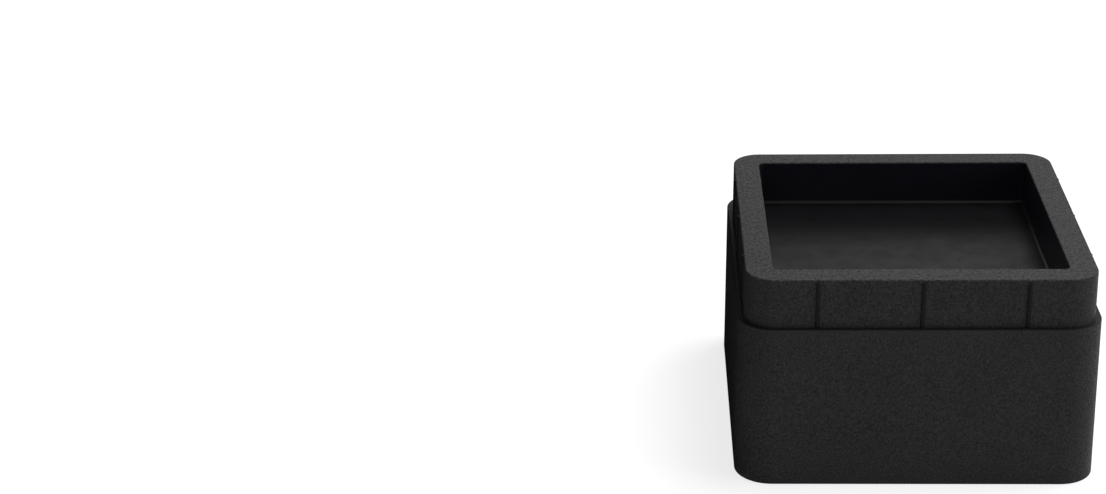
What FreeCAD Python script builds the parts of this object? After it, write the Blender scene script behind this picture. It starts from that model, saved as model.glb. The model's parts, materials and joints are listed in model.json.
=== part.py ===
# Square stackable bed riser: one hollow plastic moulding with a leg recess on top, a collar that
# enters the riser above it, and a rib grid underneath. Millimetres, origin at the centre of the foot, +Z up.
import FreeCAD
import Part
import Sketcher
import math
import os

doc = FreeCAD.newDocument("bed_riser")
sheet = doc.addObject("Spreadsheet::Sheet", "Sizes")

# Sizes that are chosen
chosen = {
    "lift_height": 76.2,
    "seat_rise": 1.6,
    "recess_depth": 20.6,
    "recess_width": 127.5,
    "recess_radius": 2.5,
    "collar_width": 151.8,
    "collar_radius": 12.8,
    "shoulder_width": 2.65,
    "wall": 2.4,
    "rim_thickness": 2.6,
    "draft": 0.5,
    "recess_draft": 1.0,
    "rim_round": 0.7,
    "mouth_round": 0.6,
    "shoulder_round": 0.6,
    "foot_round": 0.5,
    "recess_fillet": 1.4,
    "bead_pitch": 45.0,
    "bead_width": 2.2,
    "bead_top_gap": 1.4,
    "rib_thickness": 2.0,
    "stack_clearance": 0.15,
    "nest_clearance": 0.8,
    "rib_clearance": 0.4,
    "collar_headroom": 1.8,
}

# Sizes that follow from them
derived = {
    "shoulder_height": "=lift_height - seat_rise",
    "full_height": "=lift_height + recess_depth",
    "collar_height": "=full_height - shoulder_height",
    "foot_width": "=collar_width + 2 * shoulder_width + 2 * shoulder_height * tan(draft)",
    "foot_radius": "=collar_radius + (foot_width - collar_width) / 2",
    "hollow_width": "=foot_width - 2 * wall",
    "hollow_radius": "=foot_radius - wall",
    "ceiling": "=shoulder_height - wall",
    "channel_width": "=collar_width - 2 * wall",
    "channel_radius": "=collar_radius - wall",
    "core_width": "=recess_width + 2 * wall",
    "core_radius": "=recess_radius + wall",
    "channel_height": "=full_height - rim_thickness - ceiling",
    "bead_depth": "=(hollow_width - collar_width) / 2 - stack_clearance",
    "bead_length": "=collar_height - bead_top_gap",
    "bead_radius": "=((bead_width / 2) ^ 2 + bead_depth ^ 2) / (2 * bead_depth)",
    "seat_width": "=recess_width - 2 * recess_depth * tan(recess_draft) - 2 * recess_fillet",
    "rib_foot": "=seat_rise + rib_clearance",
    "rib_step": "=collar_height + collar_headroom",
    "rib_top": "=ceiling + wall / 2",
    "rib_reach": "=seat_width - 2 * nest_clearance",
    "rib_span": "=foot_width - wall",
}

for row, (alias, amount) in enumerate({**chosen, **derived}.items(), 1):
    sheet.set(f"A{row}", alias)
    sheet.set(f"B{row}", str(amount))
    sheet.setAlias(f"B{row}", alias)
doc.recompute()


def value(alias):
    """The present value of a size in the sheet."""
    return float(sheet.get(alias))


body = doc.addObject("PartDesign::Body", "riser")
body.Label = "riser"


def origin_plane(role):
    """The body's own origin plane with this role, such as XY_Plane."""
    return next(f for f in body.Origin.OriginFeatures if f.Role == role)


def new_sketch(name, role, offset=None):
    """A sketch on one of the body's planes, lifted off it by the sheet value named in offset."""
    sketch = body.newObject("Sketcher::SketchObject", name)
    sketch.AttachmentSupport = (origin_plane(role), [""])
    sketch.MapMode = "FlatFace"
    if offset:
        sketch.setExpression("AttachmentOffset.Base.z", offset)
    return sketch


def bind(sketch, index, name, formula):
    """Name a dimension of a sketch and tie it to the sheet."""
    sketch.renameConstraint(index, name)
    sketch.setExpression(f"Constraints.{name}", formula)


def rounded_square(sketch, tag, width, radius):
    """Add a centred square with round corners, sized by two sheet values."""
    half = value(width) / 2
    corner = value(radius)
    flat = half - corner
    first = sketch.GeometryCount
    ends = [(-flat, -half, flat, -half), (half, -flat, half, flat),
            (flat, half, -flat, half), (-half, flat, -half, -flat)]
    for x0, y0, x1, y1 in ends:
        sketch.addGeometry(Part.LineSegment(FreeCAD.Vector(x0, y0, 0), FreeCAD.Vector(x1, y1, 0)), False)
    centres = [(flat, -flat), (flat, flat), (-flat, flat), (-flat, -flat)]
    for quarter, (x, y) in enumerate(centres, -1):
        circle = Part.Circle(FreeCAD.Vector(x, y, 0), FreeCAD.Vector(0, 0, 1), corner)
        begin = quarter * math.pi / 2
        sketch.addGeometry(Part.ArcOfCircle(circle, begin, begin + math.pi / 2), False)
    for k in range(4):
        side = first + k
        arc = first + 4 + k
        following = first + (k + 1) % 4
        sketch.addConstraint(Sketcher.Constraint("Tangent", side, 2, arc, 1))
        sketch.addConstraint(Sketcher.Constraint("Tangent", arc, 2, following, 1))
    for k in range(1, 4):
        sketch.addConstraint(Sketcher.Constraint("Equal", first + 4, first + 4 + k))
    sketch.addConstraint(Sketcher.Constraint("Symmetric", first, 1, first, 2, -2))
    sketch.addConstraint(Sketcher.Constraint("Symmetric", first + 1, 1, first + 1, 2, -1))
    sketch.addConstraint(Sketcher.Constraint("Horizontal", first + 2))
    sketch.addConstraint(Sketcher.Constraint("Vertical", first + 3))
    sketch.addConstraint(Sketcher.Constraint("Equal", first, first + 1))
    across = sketch.addConstraint(Sketcher.Constraint("DistanceX", first + 3, 1, first + 1, 1, 2 * half))
    bind(sketch, across, f"{tag}_width", f"Sizes.{width}")
    bend = sketch.addConstraint(Sketcher.Constraint("Radius", first + 4, corner))
    bind(sketch, bend, f"{tag}_radius", f"Sizes.{radius}")


def extrude(kind, name, sketch, length, taper=None, upward=True):
    """Pad or pocket a sketch by a sheet value and return the feature with the change in volume."""
    before = body.Shape.Volume if body.Tip else 0.0
    feature = body.newObject(f"PartDesign::{kind}", name)
    feature.Profile = sketch
    feature.setExpression("Length", f"Sizes.{length}")
    feature.Reversed = upward if kind == "Pocket" else not upward
    if taper:
        feature.setExpression("TaperAngle", f"-Sizes.{taper}")
    doc.recompute()
    print(name, "volume change", round(feature.Shape.Volume - before), "mm3")
    return feature


def loop_edges(feature, level, inner=False):
    """Names of the edges round the flat face at one height: its outer loop, or its inner one."""
    flats = []
    for face in feature.Shape.Faces:
        box = face.BoundBox
        if abs(box.ZMin - level) < 1e-4 and abs(box.ZMax - level) < 1e-4:
            flats.append(face)
    face = max(flats, key=lambda f: f.BoundBox.DiagonalLength)
    loop = face.OuterWire
    if inner:
        loop = next(w for w in face.Wires if not w.isSame(face.OuterWire))
    edges = enumerate(feature.Shape.Edges, 1)
    return [f"Edge{n}" for n, edge in edges if any(edge.isSame(e) for e in loop.Edges)]


def round_edges(name, feature, edges, radius):
    """Fillet the named edges by a sheet value."""
    fillet = body.newObject("PartDesign::Fillet", name)
    fillet.Base = (feature, edges)
    fillet.setExpression("Radius", f"Sizes.{radius}")
    doc.recompute()
    print(name, len(edges), "edges")
    return fillet


# Outside: a tapered skirt, and the narrower collar that leaves a shoulder all round
skirt_outline = new_sketch("SkirtOutline", "XY_Plane")
rounded_square(skirt_outline, "skirt", "foot_width", "foot_radius")
extrude("Pad", "Skirt", skirt_outline, "shoulder_height", "draft")

collar_outline = new_sketch("CollarOutline", "XY_Plane", "Sizes.shoulder_height")
rounded_square(collar_outline, "collar", "collar_width", "collar_radius")
collar = extrude("Pad", "Collar", collar_outline, "collar_height", "draft")

rim = round_edges("RimRound", collar, loop_edges(collar, value("full_height")), "rim_round")
shoulder = round_edges("ShoulderRound", rim, loop_edges(rim, value("shoulder_height")), "shoulder_round")
round_edges("FootRound", shoulder, loop_edges(shoulder, 0), "foot_round")

# Recess that takes the furniture leg
recess_outline = new_sketch("RecessOutline", "XY_Plane", "Sizes.full_height")
rounded_square(recess_outline, "recess", "recess_width", "recess_radius")
recess = extrude("Pocket", "Recess", recess_outline, "recess_depth", "recess_draft", upward=False)
seat = round_edges("SeatFillet", recess, loop_edges(recess, value("lift_height")), "recess_fillet")
round_edges("MouthRound", seat, loop_edges(seat, value("full_height"), inner=True), "mouth_round")

# Hollow underside: the skirt's inside, and the channel between the collar and the recess wall
hollow_outline = new_sketch("HollowOutline", "XY_Plane")
rounded_square(hollow_outline, "hollow", "hollow_width", "hollow_radius")
extrude("Pocket", "Hollow", hollow_outline, "ceiling", "draft")

channel_outline = new_sketch("ChannelOutline", "XY_Plane", "Sizes.ceiling")
rounded_square(channel_outline, "channel", "channel_width", "channel_radius")
rounded_square(channel_outline, "core", "core_width", "core_radius")
extrude("Pocket", "Channel", channel_outline, "channel_height")


def rib_outline(name, role, offset):
    """Side view of one rib: narrow below, where it enters the recess of the riser underneath, wide above."""
    sketch = new_sketch(name, role, offset)
    reach = value("rib_reach") / 2
    span = value("rib_span") / 2
    low = value("rib_foot")
    step = value("rib_step")
    top = value("rib_top")
    corners = [(-reach, low), (reach, low), (reach, step), (span, step),
               (span, top), (-span, top), (-span, step), (-reach, step)]
    for k in range(8):
        x0, y0 = corners[k]
        x1, y1 = corners[(k + 1) % 8]
        sketch.addGeometry(Part.LineSegment(FreeCAD.Vector(x0, y0, 0), FreeCAD.Vector(x1, y1, 0)), False)
    for k in range(8):
        sketch.addConstraint(Sketcher.Constraint("Coincident", k, 2, (k + 1) % 8, 1))
    for k in (1, 3, 5, 7):
        sketch.addConstraint(Sketcher.Constraint("Vertical", k))
    for k in (2, 6):
        sketch.addConstraint(Sketcher.Constraint("Horizontal", k))
    sketch.addConstraint(Sketcher.Constraint("Symmetric", 0, 1, 0, 2, -2))
    sketch.addConstraint(Sketcher.Constraint("Symmetric", 4, 1, 4, 2, -2))
    sketch.addConstraint(Sketcher.Constraint("Horizontal", 2, 1, 6, 2))
    wide = sketch.addConstraint(Sketcher.Constraint("DistanceX", 4, 2, 4, 1, 2 * span))
    bind(sketch, wide, "span", "Sizes.rib_span")
    narrow = sketch.addConstraint(Sketcher.Constraint("DistanceX", 0, 1, 0, 2, 2 * reach))
    bind(sketch, narrow, "reach", "Sizes.rib_reach")
    lowest = sketch.addConstraint(Sketcher.Constraint("DistanceY", -1, 1, 0, 1, low))
    bind(sketch, lowest, "foot", "Sizes.rib_foot")
    stepped = sketch.addConstraint(Sketcher.Constraint("DistanceY", -1, 1, 2, 1, step))
    bind(sketch, stepped, "step", "Sizes.rib_step")
    highest = sketch.addConstraint(Sketcher.Constraint("DistanceY", -1, 1, 4, 1, top))
    bind(sketch, highest, "top", "Sizes.rib_top")
    return sketch


def rib_row(name, role):
    """Three equal ribs across the hollow, one under each line of collar beads."""
    sketch = rib_outline(f"{name}Outline", role, "-Sizes.bead_pitch")
    rib = body.newObject("PartDesign::Pad", name)
    rib.Profile = sketch
    rib.setExpression("Length", "Sizes.rib_thickness")
    rib.Midplane = True
    doc.recompute()
    pattern = body.newObject("PartDesign::LinearPattern", f"{name}s")
    pattern.Originals = [rib]
    pattern.Direction = (sketch, ["N_Axis"])
    pattern.setExpression("Length", "2 * Sizes.bead_pitch")
    pattern.Occurrences = 3
    body.Tip = pattern
    doc.recompute()
    print(pattern.Name, "volume", round(pattern.Shape.Volume))


rib_row("CrossRib", "XZ_Plane")
rib_row("LengthRib", "YZ_Plane")


def bead_profile(sketch, tag, side):
    """Add one half-round bead on the front of the collar: side is -1, 0 or 1 pitches from the middle."""
    middle = side * value("bead_pitch")
    half = value("bead_width") / 2
    face = -value("collar_width") / 2
    inner = face + value("wall") / 2
    crown = FreeCAD.Vector(middle, face - value("bead_depth"), 0)
    left = FreeCAD.Vector(middle - half, face, 0)
    right = FreeCAD.Vector(middle + half, face, 0)
    left_in = FreeCAD.Vector(middle - half, inner, 0)
    right_in = FreeCAD.Vector(middle + half, inner, 0)
    arc = sketch.addGeometry(Part.Arc(left, crown, right), False)
    down = sketch.addGeometry(Part.LineSegment(right, right_in), False)
    back = sketch.addGeometry(Part.LineSegment(right_in, left_in), False)
    up = sketch.addGeometry(Part.LineSegment(left_in, left), False)
    sketch.addConstraint(Sketcher.Constraint("Coincident", arc, 2, down, 1))
    sketch.addConstraint(Sketcher.Constraint("Coincident", down, 2, back, 1))
    sketch.addConstraint(Sketcher.Constraint("Coincident", back, 2, up, 1))
    sketch.addConstraint(Sketcher.Constraint("Coincident", up, 2, arc, 1))
    sketch.addConstraint(Sketcher.Constraint("Vertical", down))
    sketch.addConstraint(Sketcher.Constraint("Vertical", up))
    sketch.addConstraint(Sketcher.Constraint("Horizontal", back))
    sketch.addConstraint(Sketcher.Constraint("Horizontal", arc, 1, arc, 2))
    wide = sketch.addConstraint(Sketcher.Constraint("DistanceX", arc, 1, arc, 2, 2 * half))
    bind(sketch, wide, f"{tag}_width", "Sizes.bead_width")
    bend = sketch.addConstraint(Sketcher.Constraint("Radius", arc, value("bead_radius")))
    bind(sketch, bend, f"{tag}_radius", "Sizes.bead_radius")
    out = sketch.addConstraint(Sketcher.Constraint("DistanceY", arc, 1, -1, 1, -face))
    bind(sketch, out, f"{tag}_face", "Sizes.collar_width / 2")
    root = sketch.addConstraint(Sketcher.Constraint("DistanceY", down, 1, down, 2, inner - face))
    bind(sketch, root, f"{tag}_root", "Sizes.wall / 2")
    if side == 0:
        sketch.addConstraint(Sketcher.Constraint("PointOnObject", arc, 3, -2))
        return
    ends = (-1, 1, arc, 3) if side > 0 else (arc, 3, -1, 1)
    place = sketch.addConstraint(Sketcher.Constraint("DistanceX", *ends, abs(middle)))
    bind(sketch, place, f"{tag}_place", "Sizes.bead_pitch")


# Half-round beads on the four faces of the collar, which take up the play in a stack
bead_outline = new_sketch("BeadOutline", "XY_Plane", "Sizes.shoulder_height")
bead_profile(bead_outline, "left", -1)
bead_profile(bead_outline, "middle", 0)
bead_profile(bead_outline, "right", 1)
bead = extrude("Pad", "Bead", bead_outline, "bead_length", "draft")
beads = body.newObject("PartDesign::PolarPattern", "Beads")
beads.Originals = [bead]
beads.Axis = (bead_outline, ["N_Axis"])
beads.Angle = 360
beads.Occurrences = 4
body.Tip = beads
doc.recompute()

for item in doc.Objects:
    if "Invalid" in item.State or "Error" in item.State:
        raise RuntimeError(f"{item.Name} did not build: {item.State}")
solid = body.Shape
if solid.isNull() or not solid.isValid() or len(solid.Solids) != 1:
    raise RuntimeError("the riser is not one valid solid")
print("riser", round(value("foot_width"), 2), "mm wide,", round(solid.Volume), "mm3")

os.makedirs("parts", exist_ok=True)
solid.exportStep("parts/riser.step")
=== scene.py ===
# %% [markdown]
# # A stackable bed riser
# The real object is one injection moulding in black polypropylene: a square hollow block that lifts a
# furniture leg. It has a drafted skirt, a shoulder, a narrower collar with thin upright beads, and a square
# recess on top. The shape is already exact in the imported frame, so this lesson is about the camera, the
# finish and the light.

# %% Load the frame
import bpy
import json
import math
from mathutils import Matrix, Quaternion, Vector


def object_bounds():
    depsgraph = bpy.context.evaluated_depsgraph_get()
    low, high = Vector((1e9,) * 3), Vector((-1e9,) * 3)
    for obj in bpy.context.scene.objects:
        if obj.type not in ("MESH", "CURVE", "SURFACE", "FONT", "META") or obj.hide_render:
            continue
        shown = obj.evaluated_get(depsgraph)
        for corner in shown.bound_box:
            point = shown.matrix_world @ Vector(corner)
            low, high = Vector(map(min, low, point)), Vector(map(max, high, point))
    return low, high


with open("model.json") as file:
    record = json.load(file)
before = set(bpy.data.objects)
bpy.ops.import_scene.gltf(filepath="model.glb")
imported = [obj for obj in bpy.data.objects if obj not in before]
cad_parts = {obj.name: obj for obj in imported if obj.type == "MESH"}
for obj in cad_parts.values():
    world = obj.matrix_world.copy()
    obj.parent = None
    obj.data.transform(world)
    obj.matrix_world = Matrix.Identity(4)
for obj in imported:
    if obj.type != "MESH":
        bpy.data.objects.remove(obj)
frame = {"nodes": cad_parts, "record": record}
cad_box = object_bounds()
riser = frame["nodes"]["riser"]


def in_millimetres(box):
    """Both corners of a box in metres, rounded to be read in millimetres."""
    return [[round(1000 * v, 1) for v in corner] for corner in box]


print("riser box in millimetres", in_millimetres(cad_box))

# %% [markdown]
# ## Camera
# The picture was taken from above and slightly to the left of the riser, which stands at the right of the
# frame. The camera could be placed by eye, but its place was worked out from the straight edges of the rim,
# recess and skirt, so that the same edges fall on nearly the same pixels. The lens is long, so the sides
# hardly converge.

# %% Camera at the photograph's viewing angle
camera_place = Vector((-0.1232, -1.0079, 0.5094))
camera_aim = Vector((-0.1637, 0.0757, 0.0480))
camera_roll = math.radians(-0.96)
lens_axis = Vector((0, 0, 1))
lens_mm = 77.6
sensor_mm = 36.0

camera_data = bpy.data.cameras.new("camera")
camera_data.sensor_fit = "HORIZONTAL"
camera_data.sensor_width = sensor_mm
camera_data.lens = lens_mm
camera = bpy.data.objects.new("camera", camera_data)
bpy.context.collection.objects.link(camera)
camera.location = camera_place
camera.rotation_mode = "QUATERNION"
level_view = (camera_aim - camera_place).to_track_quat("-Z", "Y")
camera.rotation_quaternion = level_view @ Quaternion(lens_axis, camera_roll)
bpy.context.scene.camera = camera
bpy.context.scene.view_settings.view_transform = "Standard"
print("camera", round((camera_aim - camera_place).length, 3), "m from its aim, lens", lens_mm, "mm")


# %% [markdown]
# ## Node trees from short lines
# Every finish here is a node tree. The nodes could be placed by hand in the shader editor, but a script can
# be read and run again. Five small helpers keep it short: one adds any node with its links, one adds a sum
# or a comparison, two blend a value or a colour, and one starts an empty material.

# %% Helpers for node trees
def add_node(tree, kind, inputs=None, **settings):
    """Add a node, set its properties, and set or link the inputs given by name or number."""
    node = tree.nodes.new(kind)
    for name, setting in settings.items():
        setattr(node, name, setting)
    for key, source in (inputs or {}).items():
        if isinstance(source, bpy.types.NodeSocket):
            tree.links.new(source, node.inputs[key])
        else:
            node.inputs[key].default_value = source
    return node


def calc(tree, operation, *terms):
    """One Math node on the terms, as its output socket."""
    return add_node(tree, "ShaderNodeMath", dict(enumerate(terms)), operation=operation).outputs[0]


def blend(tree, share, low, high):
    """A value that goes from low to high as share goes from 0 to 1."""
    return add_node(tree, "ShaderNodeMix", {0: share, 2: low, 3: high}).outputs[0]


def blend_colour(tree, share, low, high):
    """A colour that goes from low to high as share goes from 0 to 1."""
    return add_node(tree, "ShaderNodeMix", {0: share, 6: low, 7: high}, data_type="RGBA").outputs[2]


def new_material(name):
    """An empty node material and its tree."""
    material = bpy.data.materials.new(name)
    material.use_nodes = True
    material.node_tree.nodes.clear()
    return material, material.node_tree


helpers = (add_node, calc, blend, blend_colour, new_material)
print("helpers", [helper.__name__ for helper in helpers])

# %% [markdown]
# ## Where the finishes change
# A mould is not finished the same all over. Its outer wall and rim are spark-eroded, which leaves a fine
# grain on the plastic. The beads and the ledge of the shoulder are cut afterwards and stay smooth, and so
# do the recess and the inside. The colours also carry painted light: the beads and the ledge are painted
# dark as painted shade, the recess walls and seat are painted near black as the shade in the recess, and
# the fillet round the seat is painted lighter than the seat, as a painted highlight line. The finishes could
# be separate materials on chosen faces, but the mesh is to stay as it is, so the tree finds each zone by its
# place. The wall's rings at one corner share one centre, so the distance out from it, with the draft taken
# off, tells the outer wall from the inner one. The heights come from the frame: its box, and the mounts in
# its record.

# %% Sizes of the outer wall, in metres
mount_height = {mount["name"]: mount["pos_m"][2] for mount in frame["record"]["mounts"]}
seat_height = mount_height["leg_seat"]
shoulder_height = mount_height["stack_shoulder"]
rim_height = cad_box[1][2]
foot_half = cad_box[1][0]
foot_corner_radius = 0.0161
draft = math.radians(0.5)
levels = {"seat": seat_height, "shoulder": shoulder_height, "rim": rim_height}
print("heights in millimetres", {name: round(1000 * level, 1) for name, level in levels.items()})

# %% How far out a point lies
plastic, tree = new_material("black_plastic")
place = add_node(tree, "ShaderNodeTexCoord").outputs["Object"]
mirrored = add_node(tree, "ShaderNodeVectorMath", {0: place}, operation="ABSOLUTE").outputs[0]
axes = add_node(tree, "ShaderNodeSeparateXYZ", {0: mirrored}).outputs
corner_centre = foot_half - foot_corner_radius
past_x = calc(tree, "MAXIMUM", calc(tree, "SUBTRACT", axes["X"], corner_centre), 0.0)
past_y = calc(tree, "MAXIMUM", calc(tree, "SUBTRACT", axes["Y"], corner_centre), 0.0)
past = add_node(tree, "ShaderNodeCombineXYZ", {"X": past_x, "Y": past_y}).outputs[0]
outward = add_node(tree, "ShaderNodeVectorMath", {0: past}, operation="LENGTH").outputs["Value"]
reach = calc(tree, "MULTIPLY_ADD", axes["Z"], math.tan(draft), outward)
print("corners are struck from", round(1000 * corner_centre, 2), "mm off the middle planes")


# %% Zones of the outside: skin, and ledge and beads with painted shade
def higher_than(level):
    """1 above this height and 0 below it."""
    return calc(tree, "GREATER_THAN", axes["Z"], level)


def further_than(distance):
    """1 where the wall reaches further out than this, and 0 elsewhere."""
    return calc(tree, "GREATER_THAN", reach, distance)


half_wall = 0.0012
shoulder_width = 0.00265
rim_round = 0.0007
bead_root = 0.0001
ledge_edge = 0.0003
collar_reach = foot_corner_radius - shoulder_width
skirt_zone = further_than(foot_corner_radius - half_wall)
collar_zone = calc(tree, "MULTIPLY", further_than(collar_reach - half_wall),
                   higher_than(shoulder_height - half_wall))
rim_zone = higher_than(rim_height - rim_round)
skin_zone = calc(tree, "MAXIMUM", calc(tree, "MAXIMUM", skirt_zone, collar_zone), rim_zone)
# The beads and the shoulder's ledge are painted darker than the skin: painted shade for the dark flanks of
# the beads and the shade under the collar.
ledge_painted_shade_zone = calc(tree, "MULTIPLY", further_than(collar_reach + bead_root),
                  higher_than(shoulder_height - ledge_edge))
print("collar set", round(1000 * shoulder_width, 2), "mm in from the skirt")

# %% Zones of the recess: seat, fillet and wall
recess_half = 0.06375
seat_fillet = 0.0014
fillet_start = 0.00003
off_middle = calc(tree, "MAXIMUM", axes["X"], axes["Y"])
in_square = calc(tree, "LESS_THAN", off_middle, recess_half + half_wall)
# The recess, its seat and its walls, is painted far darker than the outer skin: painted shade inside the
# recess.
recess_painted_shade_zone = calc(tree, "MULTIPLY", in_square, higher_than(seat_height - half_wall))
# The fillet round the seat is painted lighter than the seat, a painted highlight line at the foot of the
# recess walls, and darker than the skin as painted shade.
fillet_painted_highlight_zone = calc(tree, "MULTIPLY", in_square, higher_than(seat_height + fillet_start))
recess_wall_painted_shade_zone = calc(tree, "MULTIPLY", in_square, higher_than(seat_height + seat_fillet))
print("recess", round(2000 * recess_half, 1), "mm wide")


# %% One finish for each zone
def by_zone(mix, inside, seat, fillet, recess_wall_painted_shade, skin, ledge):
    """One value or colour for each zone, laid over one another from the inside out."""
    result = mix(tree, recess_painted_shade_zone, inside, seat)
    result = mix(tree, fillet_painted_highlight_zone, result, fillet)
    result = mix(tree, recess_wall_painted_shade_zone, result, recess_wall_painted_shade)
    result = mix(tree, skin_zone, result, skin)
    return mix(tree, ledge_painted_shade_zone, result, ledge)


print("zones: inside, seat, fillet, recess wall, skin, and ledge with beads")

# %% [markdown]
# ## Black plastic
# Spark-eroded plastic is a field of tiny pits, each under a millimetre across, which show as fine speckle.
# They could be modelled, but there would be tens of thousands of them, so one noise drives the bump, the
# colour and the roughness together: a pit is darker and duller than the ground beside it. The colour
# speckle is partly that grain and partly painted glints, the sparkle of the pits under the lamps. On the
# rim the pits are deeper, and a coarser noise gives the colour, with stronger painted glints. Two broader
# noises add the cloudiness that the flow of the plastic leaves, slight all over and plainer on the smooth
# seat.

# %% Noise and how it is stretched
noise_detail = 3.0
noise_roughness = 0.6


def noise(waves_per_metre):
    """Soft random heights over the moulding, between 0 and 1."""
    settings = {
        "Vector": place,
        "Scale": waves_per_metre,
        "Detail": noise_detail,
        "Roughness": noise_roughness}
    return add_node(tree, "ShaderNodeTexNoise", settings).outputs["Fac"]


def stretch(height, low, high, new_low=0.0, new_high=1.0):
    """Map the heights from low to high onto new_low to new_high, and hold the rest at the ends."""
    settings = {"Value": height, "From Min": low, "From Max": high, "To Min": new_low, "To Max": new_high}
    return add_node(tree, "ShaderNodeMapRange", settings).outputs[0]


print("noise with", noise_detail, "finer layers")

# %% Grain and clouds
pits_per_metre = 1300.0
rim_specks_per_metre = 650.0
seat_clouds_per_metre = 90.0
flow_clouds_per_metre = 45.0
pit_to_ground = (0.3, 0.7)
rim_pit_to_ground = (0.35, 0.65)
seat_cloud_heights = (0.3, 0.7)
flow_shades = (0.85, 1.15)
grain_height = noise(pits_per_metre)
# The colour speckle is partly grain and partly painted glints.
grain_and_glint_speckle = stretch(grain_height, *pit_to_ground)
rim_grain_and_glint_speckle = stretch(noise(rim_specks_per_metre), *rim_pit_to_ground)
seat_cloud = stretch(noise(seat_clouds_per_metre), *seat_cloud_heights)
flow_cloud = stretch(noise(flow_clouds_per_metre), 0.0, 1.0, *flow_shades)
print("pits about", round(1000 / pits_per_metre, 2), "mm apart")

# %% Colour of each zone
skin_pit = (0.0095, 0.0095, 0.0097, 1)
skin_ground = (0.0325, 0.0325, 0.0331, 1)
rim_pit = (0.0120, 0.0120, 0.0122, 1)
rim_ground = (0.0340, 0.0340, 0.0347, 1)
# The seat's two tones are painted shade, far darker than the skin, with random clouds between them.
seat_painted_shade_dark = (0.0020, 0.0020, 0.0024, 1)
seat_painted_shade_pale = (0.0042, 0.0040, 0.0046, 1)
# Outer wall and rim colours: grain with painted glints.
wall_skin = blend_colour(tree, grain_and_glint_speckle, skin_pit, skin_ground)
rim_skin = blend_colour(tree, rim_grain_and_glint_speckle, rim_pit, rim_ground)
colour = by_zone(
    blend_colour,
    inside=(0.0160, 0.0160, 0.0165, 1),
    seat=blend_colour(tree, seat_cloud, seat_painted_shade_dark, seat_painted_shade_pale),
    # The fillet is painted lighter than the seat, a painted highlight line, and darker than the skin, as
    # painted shade.
    fillet=(0.0080, 0.0080, 0.0084, 1),
    # The recess wall is painted near black, a little blue: painted shade.
    recess_wall_painted_shade=(0.0056, 0.0052, 0.0078, 1),
    skin=blend_colour(tree, rim_zone, wall_skin, rim_skin),
    # The ledge and beads are painted dark: painted shade.
    ledge=(0.0070, 0.0070, 0.0072, 1))
print("outer wall from", skin_pit[0], "in a pit to", skin_ground[0], "on the ground beside it")

# %% Gloss and pit depth of each zone
pit_roughness = 0.72
ground_roughness = 0.38
dull_cloud_roughness = 0.38
shiny_cloud_roughness = 0.28
wall_pit_strength = 0.5
rim_pit_strength = 1.0
roughness = by_zone(
    blend,
    inside=0.42,
    seat=blend(tree, seat_cloud, dull_cloud_roughness, shiny_cloud_roughness),
    fillet=0.33,
    recess_wall_painted_shade=0.35,
    skin=blend(tree, grain_and_glint_speckle, pit_roughness, ground_roughness),
    ledge=0.42)
pit_strength = by_zone(
    blend,
    inside=0.08,
    seat=0.15,
    fillet=0.15,
    recess_wall_painted_shade=0.08,
    skin=blend(tree, rim_zone, wall_pit_strength, rim_pit_strength),
    ledge=0.05)
print("colour, roughness and pit strength set for 6 zones")

# %% The plastic itself
pit_depth = 0.0004
specular_level = 0.055
clouded = add_node(tree, "ShaderNodeVectorMath", {0: colour, 1: flow_cloud}, operation="MULTIPLY")
bump = add_node(tree, "ShaderNodeBump", {
    "Height": grain_height,
    "Strength": pit_strength,
    "Distance": pit_depth})
shader = add_node(tree, "ShaderNodeBsdfPrincipled", {
    "Base Color": clouded.outputs[0],
    "Roughness": roughness,
    "Normal": bump.outputs[0],
    "Specular IOR Level": specular_level})
add_node(tree, "ShaderNodeOutputMaterial", {"Surface": shader.outputs[0]})
riser.data.materials.clear()
riser.data.materials.append(plastic)
print("black plastic with", len(tree.nodes), "nodes")

# %% [markdown]
# ## Floor
# The riser stands on plain white paper. Paper lit to full white would need lamps that wash out the black
# plastic. So the eye, and reflections, see a part of the paper's white as its own glow and the rest as light
# that falls on it. The riser's shadow takes only the second part away, so it stays soft and pale.

# %% White paper floor
floor_half = 6.0
below_foot = 0.0001
floor_level = cad_box[0][2] - below_foot
floor_corners = [(-floor_half, -floor_half, floor_level), (floor_half, -floor_half, floor_level),
                 (floor_half, floor_half, floor_level), (-floor_half, floor_half, floor_level)]
floor_mesh = bpy.data.meshes.new("floor")
floor_mesh.from_pydata(floor_corners, [], [(0, 1, 2, 3)])
floor = bpy.data.objects.new("floor", floor_mesh)
bpy.context.collection.objects.link(floor)
print("floor", 2 * floor_half, "m wide")


# %% Paper that looks white
def seen_directly(tree):
    """1 for rays from the eye, a reflection or glass, and 0 for light that falls on a surface."""
    path = add_node(tree, "ShaderNodeLightPath").outputs
    seen_or_mirrored = calc(tree, "MAXIMUM", path["Is Camera Ray"], path["Is Glossy Ray"])
    return calc(tree, "MAXIMUM", seen_or_mirrored, path["Is Transmission Ray"])


lit_white = (0.5, 0.5, 0.5, 1)
seen_white = (0.25, 0.25, 0.25, 1)
own_glow = 0.76
paper, paper_tree = new_material("floor_paper")
seen = seen_directly(paper_tree)
paper_colour = blend_colour(paper_tree, seen, lit_white, seen_white)
matte = add_node(paper_tree, "ShaderNodeBsdfDiffuse", {"Color": paper_colour})
glow_strength = calc(paper_tree, "MULTIPLY", seen, own_glow)
glow = add_node(paper_tree, "ShaderNodeEmission", {"Strength": glow_strength})
both = add_node(paper_tree, "ShaderNodeAddShader", {0: matte.outputs[0], 1: glow.outputs[0]})
add_node(paper_tree, "ShaderNodeOutputMaterial", {"Surface": both.outputs[0]})
floor_mesh.materials.append(paper)
print("paper glows with", own_glow, "of white")

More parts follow.
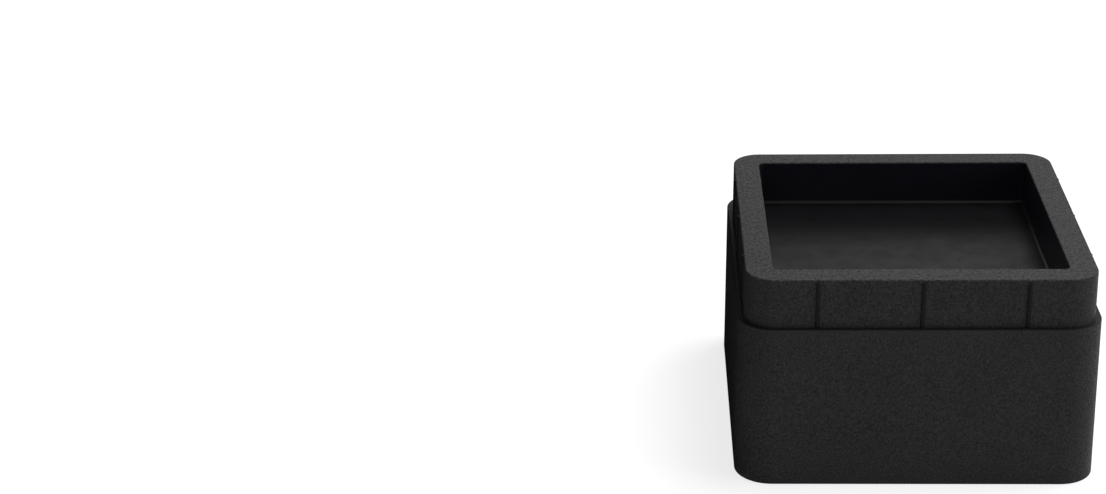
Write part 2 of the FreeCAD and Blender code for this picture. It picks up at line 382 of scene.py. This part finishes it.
# %% [markdown]
# ## Light
# A small product studio has white walls, a large soft box overhead, one at the right and a weak one in front
# that fills the shade. The walls alone would leave the beads and the shoulder flat, and a bare lamp would
# glare on the rim. A very weak panel behind shows as little more than a sheen: it draws the slow change of
# tone across the seat.

# %% White surround
surround_light = 0.28
seen_light = 1.0
white = (1, 1, 1, 1)
world = bpy.data.worlds.new("studio")
bpy.context.scene.world = world
world.use_nodes = True
studio_tree = world.node_tree
studio_tree.nodes.clear()
strength = blend(studio_tree, seen_directly(studio_tree), surround_light, seen_light)
surround = add_node(studio_tree, "ShaderNodeBackground", {"Color": white, "Strength": strength})
add_node(studio_tree, "ShaderNodeOutputWorld", {"Surface": surround.outputs[0]})
print("surround lights with", surround_light, "and looks white")

# %% Soft boxes
riser_middle = Vector((0, 0, rim_height / 2))


def soft_box(name, where, width, depth, watts):
    """A rectangular lamp that faces the riser."""
    data = bpy.data.lights.new(name, "AREA")
    data.shape = "RECTANGLE"
    data.size = width
    data.size_y = depth
    data.energy = watts
    lamp = bpy.data.objects.new(name, data)
    lamp.location = where
    lamp.rotation_mode = "QUATERNION"
    lamp.rotation_quaternion = (riser_middle - lamp.location).to_track_quat("-Z", "Y")
    bpy.context.collection.objects.link(lamp)
    print(name, "of", watts, "W")


soft_box("top_box", where=(0.5, 0.3, 1.5), width=0.9, depth=0.9, watts=32)
soft_box("side_box", where=(1.3, -0.6, 0.6), width=0.7, depth=0.7, watts=10)
soft_box("fill_box", where=(-0.35, -1.3, 0.7), width=0.6, depth=0.6, watts=2.4)
soft_box("back_panel", where=(0.21, 1.3, 0.72), width=0.12, depth=0.3, watts=0.12)

# %% [markdown]
# ## Black card
# Seen almost edge on, the left side mirrors the white paper beside it and glares. A photographer lays a
# folded black card there, out of the picture, so that the side mirrors black. The lamp could be turned
# instead, but the glare comes from the paper. This card is hidden from the eye and throws no shadow: it
# shows in reflections alone.

# %% Folded black card at the left
left_side = cad_box[0][0]
front_side = cad_box[0][1]
back_side = cad_box[1][1]
leaf_width = 0.06
leaf_height = 0.2
wing_width = 0.60
beside = left_side - leaf_width
wing_end = left_side - wing_width
lying = [(beside, front_side, 0), (left_side, front_side, 0), (left_side, back_side, 0),
         (beside, back_side, 0)]
upright = [(beside, front_side, 0), (beside, back_side, 0), (beside, back_side, leaf_height),
           (beside, front_side, leaf_height)]
wing = [(wing_end, back_side, 0), (left_side, back_side, 0), (left_side, back_side, leaf_height),
        (wing_end, back_side, leaf_height)]
card_mesh = bpy.data.meshes.new("black_card")
card_mesh.from_pydata(lying + upright + wing, [], [(0, 1, 2, 3), (4, 5, 6, 7), (8, 9, 10, 11)])
card = bpy.data.objects.new("black_card", card_mesh)
bpy.context.collection.objects.link(card)
card.visible_camera = False
card.visible_diffuse = False
card.visible_shadow = False
print("card with", len(card_mesh.polygons), "leaves")

# %% Felt on the card
felt_black = (0.01, 0.01, 0.01, 1)
felt, felt_tree = new_material("card_felt")
felt_shader = add_node(felt_tree, "ShaderNodeBsdfDiffuse", {"Color": felt_black})
add_node(felt_tree, "ShaderNodeOutputMaterial", {"Surface": felt_shader.outputs[0]})
card_mesh.materials.append(felt)
print("felt reflects", felt_black[0], "of the light")
